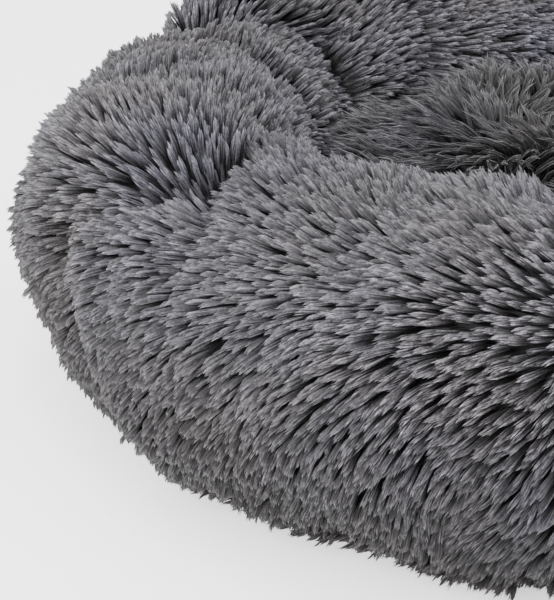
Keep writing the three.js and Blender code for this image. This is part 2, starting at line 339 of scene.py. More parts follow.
def cloth_material(name, colour, light, weave_scale, roughness=0.85, bump=0.25):
    """Plain weave: two crossed sets of threads in colour and bump."""
    mat, nodes, links, shader = material(name)
    place = nodes.new("ShaderNodeTexCoord")
    threads = []
    for axis in ("X", "Y"):
        wave = nodes.new("ShaderNodeTexWave")
        wave.wave_type = "BANDS"
        wave.bands_direction = axis
        wave.inputs["Scale"].default_value = weave_scale
        wave.inputs["Distortion"].default_value = 0.6
        wave.inputs["Detail"].default_value = 1.0
        links.new(place.outputs["Object"], wave.inputs["Vector"])
        threads.append(wave)
    weave = nodes.new("ShaderNodeMath")
    weave.operation = "MULTIPLY"
    links.new(threads[0].outputs["Fac"], weave.inputs[0])
    links.new(threads[1].outputs["Fac"], weave.inputs[1])
    mottled = nodes.new("ShaderNodeTexNoise")
    mottled.inputs["Scale"].default_value = 40.0
    links.new(place.outputs["Object"], mottled.inputs["Vector"])
    mixed = nodes.new("ShaderNodeMath")
    mixed.operation = "MULTIPLY_ADD"
    mixed.inputs[1].default_value = 0.5
    links.new(mottled.outputs["Fac"], mixed.inputs[0])
    links.new(weave.outputs[0], mixed.inputs[2])
    tone = ramp_node(nodes, [(0.15, colour), (0.95, light)])
    links.new(mixed.outputs[0], tone.inputs[0])
    links.new(tone.outputs[0], shader.inputs["Base Color"])
    relief = nodes.new("ShaderNodeBump")
    relief.inputs["Strength"].default_value = bump
    relief.inputs["Distance"].default_value = 0.0004
    links.new(weave.outputs[0], relief.inputs["Height"])
    links.new(relief.outputs[0], shader.inputs["Normal"])
    shader.inputs["Roughness"].default_value = roughness
    return mat


RING_STOPS = [
    (0.0, (0.024, 0.0226, 0.0232)),
    (0.35, (0.033, 0.0318, 0.034)),
    (0.7, (0.06, 0.0586, 0.065)),
    (1.0, (0.137, 0.1335, 0.1475)),
]
CUSHION_STOPS = [
    (0.0, (0.011, 0.011, 0.0118)),
    (0.4, (0.017, 0.0166, 0.0184)),
    (0.75, (0.038, 0.0372, 0.0405)),
    (1.0, (0.096, 0.094, 0.101)),
]
TINT = [(0.3, (1.05, 0.985, 0.93)), (0.5, (1.0, 0.98, 1.0)), (0.7, (0.96, 0.95, 1.07))]

ring_fur = fur_material("long_pile_grey", RING_STOPS, TINT, 0.7)
cushion_fur = fur_material("long_pile_grey_ruffled", CUSHION_STOPS, TINT, 0.7)
backing_cloth = cloth_material("backing_knit", (0.01, 0.01, 0.012), (0.03, 0.03, 0.033), 400)
lining_cloth = cloth_material("liner_nonwoven", (0.55, 0.54, 0.5), (0.75, 0.73, 0.69), 260)
wadding = cloth_material("loose_fibre", (0.7, 0.69, 0.66), (0.9, 0.89, 0.86), 60, 1.0, 0.6)
base_cloth = cloth_material("oxford_weave", (0.02, 0.021, 0.024), (0.065, 0.067, 0.074), 330)
floor_plush = cloth_material("short_plush", (0.05, 0.05, 0.055), (0.14, 0.14, 0.15), 240, 0.95, 0.5)
tape_cloth = cloth_material("zip_tape_twill", (0.016, 0.016, 0.019), (0.05, 0.05, 0.056), 700, 0.8, 0.3)
thread = cloth_material("polyester_thread", (0.05, 0.05, 0.055), (0.1, 0.1, 0.11), 900, 0.6, 0.1)
film = cloth_material("grip_film", (0.012, 0.012, 0.014), (0.02, 0.02, 0.023), 120, 0.5, 0.1)
nylon = cloth_material("zip_nylon", (0.014, 0.014, 0.017), (0.04, 0.04, 0.045), 500, 0.4, 0.1)
tab_cloth = cloth_material("satin_tab", (0.75, 0.74, 0.7), (0.85, 0.84, 0.8), 500, 0.5, 0.1)


def metal_material():
    mat, nodes, links, shader = material("zip_metal")
    place = nodes.new("ShaderNodeTexCoord")
    wear = nodes.new("ShaderNodeTexNoise")
    wear.inputs["Scale"].default_value = 300.0
    links.new(place.outputs["Object"], wear.inputs["Vector"])
    tone = ramp_node(nodes, [(0.3, (0.16, 0.16, 0.17)), (0.7, (0.3, 0.3, 0.31))])
    links.new(wear.outputs["Fac"], tone.inputs[0])
    links.new(tone.outputs[0], shader.inputs["Base Color"])
    shader.inputs["Metallic"].default_value = 0.9
    shader.inputs["Roughness"].default_value = 0.38
    return mat


zip_metal = metal_material()


# ---------------------------------------------------------------- the ring's form


def ring_points(azimuth, angle, inset):
    """Points on the bolster's section turned round the ring. Angle 0 faces outwards and 90 up."""
    a, f = np.radians(azimuth), np.radians(angle)
    radius = ring_radius + (half_width - inset) * np.cos(f)
    height = middle + (half_height - inset) * np.sin(f)
    return np.stack([radius * np.cos(a), radius * np.sin(a), height], -1)


def cloth_swell(piece, pinned, pressure, frames, cap, grow=0.0):
    """Inflates a copy of the piece as cloth and gives the moved coordinates, none further than cap."""
    start = coords_of(piece.data)
    scene = bpy.context.scene
    group = piece.vertex_groups.new(name="pinned")
    group.add([int(i) for i in pinned], 1.0, "REPLACE")
    cloth = piece.modifiers.new("swell", "CLOTH")
    settings = cloth.settings
    settings.vertex_group_mass = "pinned"
    settings.use_pressure = True
    settings.uniform_pressure_force = pressure
    settings.quality = 5
    settings.mass = 0.3
    settings.tension_stiffness = 12
    settings.compression_stiffness = 12
    settings.shear_stiffness = 5
    settings.bending_stiffness = 0.4
    settings.shrink_min = -grow
    settings.effector_weights.gravity = 0
    cloth.point_cache.frame_start = 1
    cloth.point_cache.frame_end = frames
    for step in range(1, frames + 1):
        scene.frame_set(step)
    graph = bpy.context.evaluated_depsgraph_get()
    moved = coords_of(piece.evaluated_get(graph).data)
    piece.modifiers.remove(cloth)
    scene.frame_set(1)
    shift = moved - start
    size = np.linalg.norm(shift, axis=1, keepdims=True)
    return start + shift * np.minimum(1.0, cap / np.maximum(size, 1e-9))


def ring_skin():
    """The bolster's backing cloth as one ring, open along its foot, with a grid of its points."""
    sections = np.linspace(-FOOT_ANGLE, 180 + FOOT_ANGLE, SECTION_STEPS + 1)
    bm = bmesh.new()
    profile = [bm.verts.new(p) for p in ring_points(np.zeros_like(sections), sections, SKIN_INSET)]
    edges = [bm.edges.new(pair) for pair in zip(profile, profile[1:])]
    bmesh.ops.spin(
        bm, geom=profile + edges, cent=(0, 0, 0), axis=(0, 0, 1), angle=2 * math.pi,
        steps=RING_STEPS, use_merge=True,
    )
    bmesh.ops.remove_doubles(bm, verts=bm.verts, dist=1e-6)
    bmesh.ops.recalc_face_normals(bm, faces=bm.faces)
    mesh = bpy.data.meshes.new("bolster_skin")
    bm.to_mesh(mesh)
    bm.free()
    piece = link("bolster_skin", mesh)

    at = coords_of(mesh)
    azimuth = np.degrees(np.arctan2(at[:, 1], at[:, 0]))
    across = np.hypot(at[:, 0], at[:, 1]) - ring_radius
    angle = np.degrees(np.arctan2(
        (at[:, 2] - middle) / (half_height - SKIN_INSET), across / (half_width - SKIN_INSET)))
    angle = np.where(angle < -FOOT_ANGLE - 5, angle + 360, angle)
    column = np.round(azimuth / (360 / RING_STEPS)).astype(int) % RING_STEPS
    row = np.round((angle + FOOT_ANGLE) / (180 + 2 * FOOT_ANGLE) * SECTION_STEPS).astype(int)
    grid = np.empty((RING_STEPS, SECTION_STEPS + 1), int)
    grid[column, row] = np.arange(len(at))

    away, _ = seam_distance(azimuth, angle)
    pinch = SEAM_PINCH * np.exp(-((away / SEAM_SPREAD) ** 2)) + 0.006 * np.exp(-((away / 14) ** 2))
    pinch = pinch * ramp(angle, CREASE_DEPTH)
    open_part = np.clip((np.minimum(angle + FOOT_ANGLE, 180 + FOOT_ANGLE - angle)) / 25, 0, 1)
    lumps = LUMP * smooth_noise(at, 9.0) + 0.5 * LUMP * smooth_noise(at, 22.0, 5.0)
    tuck = ramp(angle, OUTER_TUCK) + SHOULDER_DROP * np.exp(-(((angle - 128) / 24) ** 2))
    sag = SAG_DEPTH * np.exp(-(((azimuth - SAG_AZIMUTH) / SAG_WIDTH) ** 2)) * ramp(angle, [(-15, 1), (15, 0)])
    shaped = ring_points(azimuth, angle, SKIN_INSET + (pinch + tuck - lumps - sag) * open_part)
    mesh.vertices.foreach_set("co", shaped.astype(np.float32).ravel())
    held = np.where((row == 0) | (row == SECTION_STEPS) | (away < 0.8))[0]
    moved = cloth_swell(piece, held, 5.0, 14, 0.010, 0.02)
    mesh.vertices.foreach_set("co", moved.astype(np.float32).ravel())
    mesh.update()
    smooth(mesh)
    return piece, grid


def grid_surface(mesh, grid):
    """Coordinates and outward normals on the ring's grid of points."""
    at = coords_of(mesh)[grid]
    around = np.roll(at, -1, 0) - np.roll(at, 1, 0)
    across = np.gradient(at, axis=1)
    return at, unit(np.cross(around, across))


def sample(values, column, row):
    """Bilinear values between the grid's points; the columns wrap round the ring."""
    c0 = np.floor(column).astype(int)
    r0 = np.clip(np.floor(row).astype(int), 0, values.shape[1] - 2)
    u, v = (column - c0)[:, None], (row - r0)[:, None]
    c0, c1 = c0 % RING_STEPS, (c0 + 1) % RING_STEPS
    low = values[c0, r0] * (1 - v) + values[c0, r0 + 1] * v
    high = values[c1, r0] * (1 - v) + values[c1, r0 + 1] * v
    return low * (1 - u) + high * u


def cut_panel(source, name, from_degrees, to_degrees, gap):
    """A copy of the ring between two radial seams, given its cloth's thickness."""
    bm = bmesh.new()
    bm.from_mesh(source.data)
    for degrees, keep in ((from_degrees, 1), (to_degrees, -1)):
        turn = math.radians(degrees)
        across = Vector((-math.sin(turn), math.cos(turn), 0)) * keep
        bmesh.ops.bisect_plane(
            bm, geom=bm.verts[:] + bm.edges[:] + bm.faces[:], plane_co=across * gap,
            plane_no=across, clear_inner=True,
        )
    mesh = bpy.data.meshes.new(name)
    bm.to_mesh(mesh)
    bm.free()
    smooth(mesh)
    piece = link(name, mesh)
    thickness = piece.modifiers.new("cloth", "SOLIDIFY")
    thickness.thickness = BACKING
    thickness.offset = -1
    return piece


def closed_ring(source, name, depth):
    """The ring shrunk by depth and closed along its foot, for the liner and the filling."""
    bm = bmesh.new()
    bm.from_mesh(source.data)
    bm.normal_update()
    for vert in bm.verts:
        vert.co -= vert.normal * depth
    feet = [e for e in bm.edges if e.is_boundary]
    bmesh.ops.bridge_loops(bm, edges=feet)
    bmesh.ops.recalc_face_normals(bm, faces=bm.faces)
    mesh = bpy.data.meshes.new(name)
    bm.to_mesh(mesh)
    bm.free()
    smooth(mesh)
    return link(name, mesh)


# ---------------------------------------------------------------- pile


def cut_strand(bm, swing):
    """A three-sided strand that widens from its root to a slanted, cut tip."""
    turn = Matrix.Translation((0, 0, 1)) @ Matrix.Rotation(swing, 4, "Z")
    tip = bmesh.ops.create_circle(bm, cap_ends=True, segments=3, radius=1.0, matrix=turn)["verts"]
    rim = list({e for v in tip for e in v.link_edges})
    grown = bmesh.ops.extrude_edge_only(bm, edges=rim)["geom"]
    root = [g for g in grown if isinstance(g, bmesh.types.BMVert)]
    for step, vert in enumerate(tip):
        vert.co.z -= SLANT * step
    bmesh.ops.pointmerge(bm, verts=root, merge_co=(0, 0, 0))
    return tip + [v for v in root if v.is_valid]


def drawn_strand(bm, swing, rings):
    """A three-sided strand through its rings, (share of the length, share of the radius), pointed at both ends."""
    turn = Matrix.Rotation(swing, 4, "Z")
    first_place, first_width = rings[0]
    ring = bmesh.ops.create_circle(bm, cap_ends=True, segments=3, radius=first_width, matrix=turn)["verts"]
    fan = bmesh.ops.poke(bm, faces=list({f for v in ring for f in v.link_faces}))["verts"]
    for vert in ring:
        vert.co.z = first_place
    verts = ring + fan
    loop = [e for e in {e for v in ring for e in v.link_edges} if e.is_boundary]
    width = first_width
    for place, next_width in rings[1:] + [(1.0, 0.0)]:
        grown = bmesh.ops.extrude_edge_only(bm, edges=loop)["geom"]
        raised = [g for g in grown if isinstance(g, bmesh.types.BMVert)]
        loop = [g for g in grown if isinstance(g, bmesh.types.BMEdge) and all(v in raised for v in g.verts)]
        for vert in raised:
            vert.co.x *= next_width / width
            vert.co.y *= next_width / width
            vert.co.z = place
        verts += raised
        width = next_width
    bmesh.ops.pointmerge(bm, verts=raised, merge_co=(0, 0, 1))
    return [v for v in verts if v.is_valid]


def lock_shape(strands, rings, spread, radius, gather, evenness, seed):
    """One lock of pile, unit long, standing on the origin: three-sided strands with closed ends.
    Without rings a strand has a cut tip. Evenness is the shortest strand's length."""
    draw = np.random.default_rng(seed)
    bm = bmesh.new()
    strand_layer = bm.verts.layers.int.new("strand")
    corner_layer = bm.verts.layers.int.new("corner")
    for strand in range(strands):
        swing = draw.uniform(0, 2 * math.pi)
        verts = drawn_strand(bm, swing, rings) if rings else cut_strand(bm, swing)
        bearing = 2.4 * strand + draw.uniform(-0.3, 0.3)
        reach = spread * math.sqrt((strand + 0.3) / strands)
        length = draw.uniform(evenness, 1.0)
        thick = radius * draw.uniform(0.8, 1.2)
        for vert in verts:
            hub = math.hypot(vert.co.x, vert.co.y) < 1e-6
            corner = round((math.atan2(vert.co.y, vert.co.x) - swing) / (2 * math.pi / 3)) % 3
            vert[corner_layer] = 3 if hub else corner
            vert[strand_layer] = strand
            drawn = reach * (0.45 + 0.55 * min(1.0, vert.co.z / 0.5)) * (1 - gather * vert.co.z**2)
            vert.co.x = vert.co.x * thick + drawn * math.cos(bearing)
            vert.co.y = vert.co.y * thick + drawn * math.sin(bearing)
            vert.co.z *= length
    bmesh.ops.recalc_face_normals(bm, faces=bm.faces)
    bmesh.ops.triangulate(bm, faces=bm.faces)
    bm.verts.index_update()
    points = np.array([v.co[:] for v in bm.verts])
    faces = np.array([[v.index for v in f.verts] for f in bm.faces])
    ids = np.array([v[strand_layer] for v in bm.verts])
    corners = np.array([v[corner_layer] for v in bm.verts])
    bm.free()
    return points, faces, ids, corners


def pile_mesh(name, lock, roots, normals, combs, lengths, lift_root, lift_tip, droop, curl, tone, draw):
    """Plants one lock at each root, leaning along its comb direction, as one mesh."""
    points, faces, ids, around = lock
    count, corners = len(roots), len(points)
    side = unit(np.cross(combs, normals))
    lr, lt = np.radians(lift_root)[:, None], np.radians(lift_tip)[:, None]
    first = normals * np.sin(lr) + combs * np.cos(lr)
    last = normals * np.sin(lt) + combs * np.cos(lt)
    last[:, 2] -= droop
    last = unit(last)
    along = points[:, 2][None, :, None]
    bend = last - first
    path = along * first[:, None] + along**2 / 2 * bend[:, None]
    tangent = unit(first[:, None] + along * bend[:, None])
    wave_phase = draw.uniform(0, 2 * math.pi, count)[:, None]
    wave = curl[:, None] * (np.sin(along[..., 0] * 5.0 + wave_phase) - np.sin(wave_phase))
    up = unit(np.cross(side[:, None], tangent))
    width = draw.uniform(0.8, 1.25, count)[:, None, None]
    turned = draw.uniform(0, 2 * math.pi, count)
    cx, sx = np.cos(turned)[:, None], np.sin(turned)[:, None]
    px = (points[:, 0][None] * cx - points[:, 1][None] * sx)[..., None]
    py = (points[:, 0][None] * sx + points[:, 1][None] * cx)[..., None]
    at = (
        roots[:, None]
        + lengths[:, None, None] * path
        + wave[..., None] * side[:, None]
        + width * (px * side[:, None] + py * up)
    )
    at[..., 2] = np.where(at[..., 2] < FLOOR_EASE, FLOOR_EASE * np.exp(at[..., 2] / FLOOR_EASE - 1), at[..., 2])
    index = (faces[None] + (np.arange(count) * corners)[:, None, None]).reshape(-1, 3)
    mesh = write_mesh(name, at.reshape(-1, 3), index)

    # The given tone holds painted shade and painted light where the caller puts them; the rest is random difference.
    lock_tone = np.clip(0.5 + tone + 0.22 * draw.standard_normal(count), 0, 1)
    strand_tone = draw.uniform(0, 1, (count, ids.max() + 1)) ** 1.3
    fibre = np.ones((count, corners, 4), np.float32)
    fibre[..., 0] = lock_tone[:, None]
    fibre[..., 1] = 0.8 * strand_tone[:, ids] + 0.2 * draw.uniform(0, 1, (count, corners))
    fibre[..., 2] = points[:, 2][None]
    layer = mesh.attributes.new("fibre", "FLOAT_COLOR", "POINT")
    layer.data.foreach_set("color", fibre.ravel())

    cells = math.ceil(math.sqrt(count))
    cell = np.arange(count)
    strand_count = ids.max() + 1
    across = np.array([0.1, 0.5, 0.9, 0.5])[around]
    u = (0.05 + 0.9 * (ids + across) / strand_count)[None] + (cell % cells)[:, None]
    v = (0.04 + 0.92 * points[:, 2])[None] + (cell // cells)[:, None]
    flat = np.stack([u, v], -1).reshape(-1, 2) / cells
    baked = mesh.uv_layers.new(name="OFBake")
    baked.data.foreach_set("uv", flat[index.ravel()].astype(np.float32).ravel())
    return mesh


def nap(azimuth, angle, at, normals):
    """Comb direction on the ring: clockwise along the crest, falling outwards and inwards beside it."""
    a, f = np.radians(azimuth), np.radians(angle)
    clockwise = np.stack([np.sin(a), -np.cos(a), np.zeros_like(a)], -1)
    over = np.stack([-np.sin(f) * np.cos(a), -np.sin(f) * np.sin(a), np.cos(f)], -1)
    fall = ramp(angle, [(-62, 0.7), (-45, -0.5), (-25, -1), (0, -0.95), (25, -0.8), (45, -0.45), (62, -0.1), (80, 0.2),
                        (100, 0.22), (130, 0.16), (150, 0.35), (170, 0.8), (200, 1)])
    sweep = ramp(angle, [(-60, 0.3), (0, 0.5), (25, 0.75), (45, 0.95), (62, 1), (150, 1),
                         (170, 0.6), (200, 0.3)])
    lean = over * fall[:, None] + clockwise * sweep[:, None]
    stray = 0.4 * smooth_noise(at, 11.0, 3.0) + 0.35 * smooth_noise(at, 30.0, 9.0)
    stray = stray + 0.10 * rng.standard_normal(len(at))
    lean = lean - normals * np.sum(lean * normals, -1, keepdims=True)
    lean = unit(lean)
    across = np.cross(normals, lean)
    return unit(lean * np.cos(stray)[:, None] + across * np.sin(stray)[:, None])


def plant_ring(skin, grid):
    surface, normals = grid_surface(skin.data, grid)
    low_angle, high_angle = -62.0, 205.0
    arc = math.radians(high_angle - low_angle) * (half_width - SKIN_INSET)
    rows = int(arc / LOCK_SPACING)
    azimuths, angles = [], []
    for row in range(rows):
        angle = low_angle + (high_angle - low_angle) * (row + 0.5) / rows
        around = 2 * math.pi * (ring_radius + (half_width - SKIN_INSET) * math.cos(math.radians(angle)))
        steps = int(around / LOCK_SPACING)
        azimuths.append(360 * (np.arange(steps) + 0.5 * (row % 2) + rng.uniform(-0.42, 0.42, steps)) / steps)
        angles.append(angle + (high_angle - low_angle) / rows * rng.uniform(-0.42, 0.42, steps))
    azimuth = np.mod(np.concatenate(azimuths) + 180, 360) - 180
    angle = np.concatenate(angles)
    column = np.mod(azimuth, 360) / (360 / RING_STEPS)
    row = (angle + FOOT_ANGLE) / (180 + 2 * FOOT_ANGLE) * SECTION_STEPS
    at, facing = sample(surface, column, row), unit(sample(normals, column, row))
    combs = nap(azimuth, angle, at, facing)
    away, past = seam_distance(azimuth, angle)
    upright = np.exp(-(((past - 12) / 13) ** 2)) * ramp(angle, [(-40, 0.45), (30, 0.7), (60, 1), (110, 1), (130, 0)])
    crest = np.exp(-(((angle - 106) / 18) ** 2)) * (1 - 0.4 * upright)
    crest = crest * (0.5 + 0.5 * np.cos(np.radians(azimuth - CREST_FRONT)))
    ruffle = smooth_noise(at, 26.0, 2.0)
    edge = np.exp(-(((360.0 / PANELS - past - 3) / 5) ** 2)) * ramp(angle, [(40, 0), (60, 1), (118, 1), (135, 0)])
    foot = ramp(angle, [(-62, 1), (-35, 0.5), (-15, 0)])
    lift_root = 46 + 16 * upright + 8 * crest + 7 * ruffle + rng.normal(0, 5, len(at))
    lift_tip = -4 + 30 * upright + 16 * crest + 22 * edge + 24 * foot + 11 * ruffle + rng.normal(0, 6, len(at))
    lift_tip = np.clip(lift_tip, -10, 80)
    lengths = PILE_LENGTH * (1 + 0.2 * upright + 0.10 * smooth_noise(at, 40.0, 7.0) + rng.normal(0, 0.05, len(at)))
    droop = np.where(angle < 30, 0.25 * np.clip((30 - angle) / 60, 0, 1), 0.0)
    curl = np.full(len(at), 0.0006)
    # Lock tone: random patches plus painted shade and painted light over the section.
    tone = 0.3 * smooth_noise(at, 24.0, 17.0) + ramp(angle, SECTION_PAINTED_SHADING)
    lock = lock_shape(STRANDS, [], LOCK_RADIUS, STRAND_RADIUS, 0.2, 0.86, SEED)
    step = 360.0 / PANELS
    turn = np.mod(azimuth - FIRST_SEAM, 360)
    keep = rng.uniform(0, 1, len(at)) < ramp(angle, [(176, 1), (190, 0.5)])
    made = []
    for panel in range(PANELS):
        for half in range(2):
            start = panel * step + half * step / 2
            chosen = np.where((turn >= start) & (turn < start + step / 2) & keep)[0]
            name = f"bolster_pile_{panel + 1}{'ab'[half]}"
            mesh = pile_mesh(
                name, lock, at[chosen], facing[chosen], combs[chosen], lengths[chosen],
                lift_root[chosen], lift_tip[chosen], droop[chosen], curl[chosen], tone[chosen], rng,
            )
            mesh.materials.append(ring_fur)
            piece = link(name, mesh)
            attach(piece, "bed")
            made.append(piece)
    return made


def build_bolster():
    skin, grid = ring_skin()
    step = 360.0 / PANELS
    for panel in range(PANELS):
        start = FIRST_SEAM + panel * step
        piece = cut_panel(skin, f"bolster_panel_{panel + 1}", start, start + step, 0.0002)
        piece.data.materials.append(backing_cloth)
        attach(piece, "bed")
        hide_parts(f"bolster_cover_{panel + 1}")
    for name, node, depth, mat, slot in (
        ("bolster_liner_bag", "bolster_liner", 0.004, lining_cloth, "lining"),
        ("bolster_fibre_fill", "bolster_filling", 0.006, wadding, "wadding"),
    ):
        piece = closed_ring(skin, name, depth)
        piece.data.materials.append(mat)
        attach(piece, "bed")
        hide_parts(node)
    plant_ring(skin, grid)
    bpy.data.objects.remove(skin)


# ---------------------------------------------------------------- centre cushion


def cushion_form(name, inset):
    """A closed round pillow with its side seam low down, from a sphere drawn out to the cushion's section."""
    bm = bmesh.new()
    bmesh.ops.create_uvsphere(bm, u_segments=96, v_segments=48, radius=1.0)
    seam = cushion_low.z
    radius = cushion_high.x - inset
    for vert in bm.verts:
        flat = math.hypot(vert.co.x, vert.co.y)
        reach = min(1.0, flat) ** (2 / CUSHION_SQUARENESS)
        rise = abs(vert.co.z) ** (2 / CUSHION_SQUARENESS)
        height = cushion_high.z - inset - seam if vert.co.z > 0 else seam - under_low.z
        if vert.co.z > 0:
            height -= DIMPLE_DEPTH * math.exp(-((radius * reach / DIMPLE_RADIUS) ** 2))
        turn = math.atan2(vert.co.y, vert.co.x)
        vert.co = (
            radius * reach * math.cos(turn), radius * reach * math.sin(turn),
            seam + math.copysign(rise * height, vert.co.z),
        )
    mesh = bpy.data.meshes.new(name)
    bm.to_mesh(mesh)
    bm.free()
    return link(name, mesh)


def cushion_shell(source, name, look, side, thickness):
    """The cushion's skin above its side seam, side 1, or below it, side -1, as one cloth panel."""
    bm = bmesh.new()
    bm.from_mesh(source)
    bmesh.ops.bisect_plane(
        bm, geom=bm.verts[:] + bm.edges[:] + bm.faces[:], plane_co=(0, 0, cushion_low.z + side * 0.0002),
        plane_no=(0, 0, side), clear_inner=True,
    )
    piece = walled(finished(bm, name, look, "cushion"), thickness)
    return piece


def cushion_fill(source, depth):
    bm = bmesh.new()
    bm.from_mesh(source)
    bm.normal_update()
    shifts = [v.normal * depth for v in bm.verts]
    for vert, shift in zip(bm.verts, shifts):
        vert.co -= shift
    piece = finished(bm, "cushion_fibre_fill", wadding, "cushion")
    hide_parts("cushion_filling")


def build_cushion():
    inset = 0.009
    pad = cushion_form("cushion_skin", inset)
    mesh = pad.data
    at = coords_of(mesh)
    seam = cushion_low.z
    above = np.clip((at[:, 2] - seam) / 0.03, 0, 1)
    lumps = 0.007 * smooth_noise(at, 13.0, 4.0) + 0.003 * smooth_noise(at, 30.0, 6.0)
    at[:, 2] += lumps * above
    mesh.vertices.foreach_set("co", at.astype(np.float32).ravel())
    held = np.where((np.abs(at[:, 2] - seam) < 0.003) | (at[:, 2] < under_low.z + 0.004))[0]
    moved = cloth_swell(pad, held, 3.0, 12, 0.006, 0.02)
    moved[:, 2] = np.maximum(moved[:, 2], under_low.z)
    mesh.vertices.foreach_set("co", moved.astype(np.float32).ravel())
    mesh.update()
    top = cushion_shell(mesh, "cushion_top_cloth", backing_cloth, 1, BACKING)
    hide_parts("cushion_top_cover")
    under = cushion_shell(mesh, "cushion_under_cloth", base_cloth, -1, BACKING)
    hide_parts("cushion_under_cover")
    cushion_fill(mesh, 0.004)

    bm = bmesh.new()
    bm.from_mesh(mesh)
    bmesh.ops.triangulate(bm, faces=bm.faces)
    bm.normal_update()
    faces = [f for f in bm.faces if f.calc_center_median().z > seam - SEAM_COVER]
    corners = np.array([[v.co[:] for v in f.verts] for f in faces])
    normals = np.array([[v.normal[:] for v in f.verts] for f in faces])
    areas = np.array([f.calc_area() for f in faces])
    bm.free()
    bpy.data.objects.remove(pad)
    count = int(areas.sum() / CUSHION_SPACING**2)
    pick = np.searchsorted(np.cumsum(areas) / areas.sum(), (np.arange(count) + rng.uniform(0, 1, count)) / count)
    pick = np.clip(pick, 0, len(faces) - 1)
    u, v = rng.uniform(0, 1, (2, count))
    fold = u + v > 1
    u, v = np.where(fold, 1 - u, u), np.where(fold, 1 - v, v)
    weights = np.stack([1 - u - v, u, v], -1)[..., None]
    roots = (corners[pick] * weights).sum(1)
    facing = unit((normals[pick] * weights).sum(1))

    swirl = 4.2 * smooth_noise(roots, 8.5, 12.0) + 2.2 * smooth_noise(roots, 26.0, 15.0)
    swirl = swirl + 0.35 * rng.standard_normal(count)
    outward = unit(roots * np.array([1, 1, 0]))
    radius = np.hypot(roots[:, 0], roots[:, 1]) / cushion_high.x
    around = np.cross(outward, [0, 0, 1.0])
    swirl = swirl * np.clip(1.4 - radius, 0.25, 1)
    combs = outward * np.cos(swirl)[:, None] + around * np.sin(swirl)[:, None]
    combs = unit(combs - facing * np.sum(combs * facing, -1, keepdims=True))
    rim = np.clip((radius - 0.74) / 0.16, 0, 1)
    ruffle = smooth_noise(roots, 30.0, 21.0)
    lift_root = 58 + 14 * ruffle + 16 * rim
    lift_tip = np.clip(10 + 30 * ruffle + 42 * rim + rng.normal(0, 11, count), -12, 80)
    lengths = CUSHION_PILE * (1 + 0.1 * rim + rng.normal(0, 0.1, count))
    low = np.clip((seam + 0.035 - roots[:, 2]) / 0.02, 0, 1)
    lengths = lengths * (1 - 0.5 * low)
    down = facing * 0 - np.array([0, 0, 1.0])
    combs = unit(combs * (1 - low)[:, None] + down * low[:, None])
    combs = unit(combs - facing * np.sum(combs * facing, -1, keepdims=True))
    lift_tip = lift_tip * (1 - 0.8 * low)
    lift_root = lift_root * (1 - 0.35 * low)
    lock = lock_shape(6, [(0.42, 1.0), (0.78, 0.9)], 0.0017, 0.00052, 0.35, 0.84, SEED + 1)
    # Lock tone: painted shade darkens the cushion's middle and painted light brightens its outer part, plus random
    # patches.
    tone = ramp(radius, [(0.45, -0.5), (0.7, 0.25), (1.0, 0.3)]) + 0.3 * smooth_noise(roots, 24.0, 19.0)
    half = roots[:, 1] < 0
    for name, chosen in (("cushion_pile_front", np.where(half)[0]), ("cushion_pile_back", np.where(~half)[0])):
        pile = pile_mesh(
            name, lock, roots[chosen], facing[chosen], combs[chosen], lengths[chosen],
            lift_root[chosen], lift_tip[chosen], np.full(len(chosen), 0.1),
            rng.uniform(0.0008, 0.0034, len(chosen)), tone[chosen], rng,
        )
        pile.materials.append(cushion_fur)
        made = link(name, pile)
        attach(made, "cushion")


# ---------------------------------------------------------------- base and zip


def well_radius(height):
    """Where the ring's inner wall stands at a height below its middle."""
    rise = (middle - height) / half_height
    return ring_radius - half_width * math.sqrt(max(0.0, 1 - rise * rise))


def zip_opening():
    """Half the length and half the width of the opening in the base cloth, from the tapes that close it."""
    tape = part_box("zip_tape_back")[1]
    return tape.x - CLOTH, tape.y - 0.001


def pierced_disc(radius, half_length, half_wide, height):
    """A flat round sheet with a round-cornered opening along X. Gives the sheet and the opening's edges."""
    corner = 0.003
    bm = bmesh.new()
    bmesh.ops.create_circle(bm, segments=192, radius=radius)
    opening = bmesh.ops.create_circle(bm, segments=32, radius=corner)["verts"]
    for vert in opening:
        turn = math.atan2(vert.co.y, vert.co.x)
        along, wide = round(math.cos(turn), 6), round(math.sin(turn), 6)
        vert.co.x += math.copysign(half_length - corner, along) if along else 0
        vert.co.y += math.copysign(half_wide - corner, wide) if wide else 0
    bmesh.ops.triangle_fill(bm, use_beauty=True, edges=bm.edges)
    bmesh.ops.translate(bm, verts=bm.verts, vec=(0, 0, height))
    bmesh.ops.recalc_face_normals(bm, faces=bm.faces)
    if sum(f.normal.z for f in bm.faces) < 0:
        bmesh.ops.reverse_faces(bm, faces=bm.faces)
    held = set(opening)
    edges = [e for e in bm.edges if e.is_boundary and all(v in held for v in e.verts)]
    return bm, edges


def build_base_cloth():
    low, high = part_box("base_panel")
    half_length, half_wide = zip_opening()
    bm, edges = pierced_disc(high.x, half_length + FOLD, half_wide + FOLD, low.z)
    inner_length, inner_wide = half_length + FOLD, half_wide + FOLD
    stops = [(math.sin(t), 1 - math.cos(t)) for t in np.radians([30, 60, 90])]
    rises = [(half_length + FOLD * (1 - i), half_wide + FOLD * (1 - i), low.z + FOLD * u) for i, u in stops]
    for next_length, next_wide, height in rises + [(half_length, half_wide, high.z)]:
        grown = bmesh.ops.extrude_edge_only(bm, edges=edges)["geom"]
        raised = [g for g in grown if isinstance(g, bmesh.types.BMVert)]
        edges = [g for g in grown if isinstance(g, bmesh.types.BMEdge) and all(v in raised for v in g.verts)]
        for vert in raised:
            vert.co.x *= next_length / inner_length
            vert.co.y *= next_wide / inner_wide
            vert.co.z = height
        inner_length, inner_wide = next_length, next_wide
    bmesh.ops.recalc_face_normals(bm, faces=bm.faces)
    if sum(f.normal.z * f.calc_area() for f in bm.faces) < 0:
        bmesh.ops.reverse_faces(bm, faces=bm.faces)
    piece = walled(finished(bm, "base_cloth_panel", base_cloth, "bed"), CLOTH, 1)
    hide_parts("base_panel")


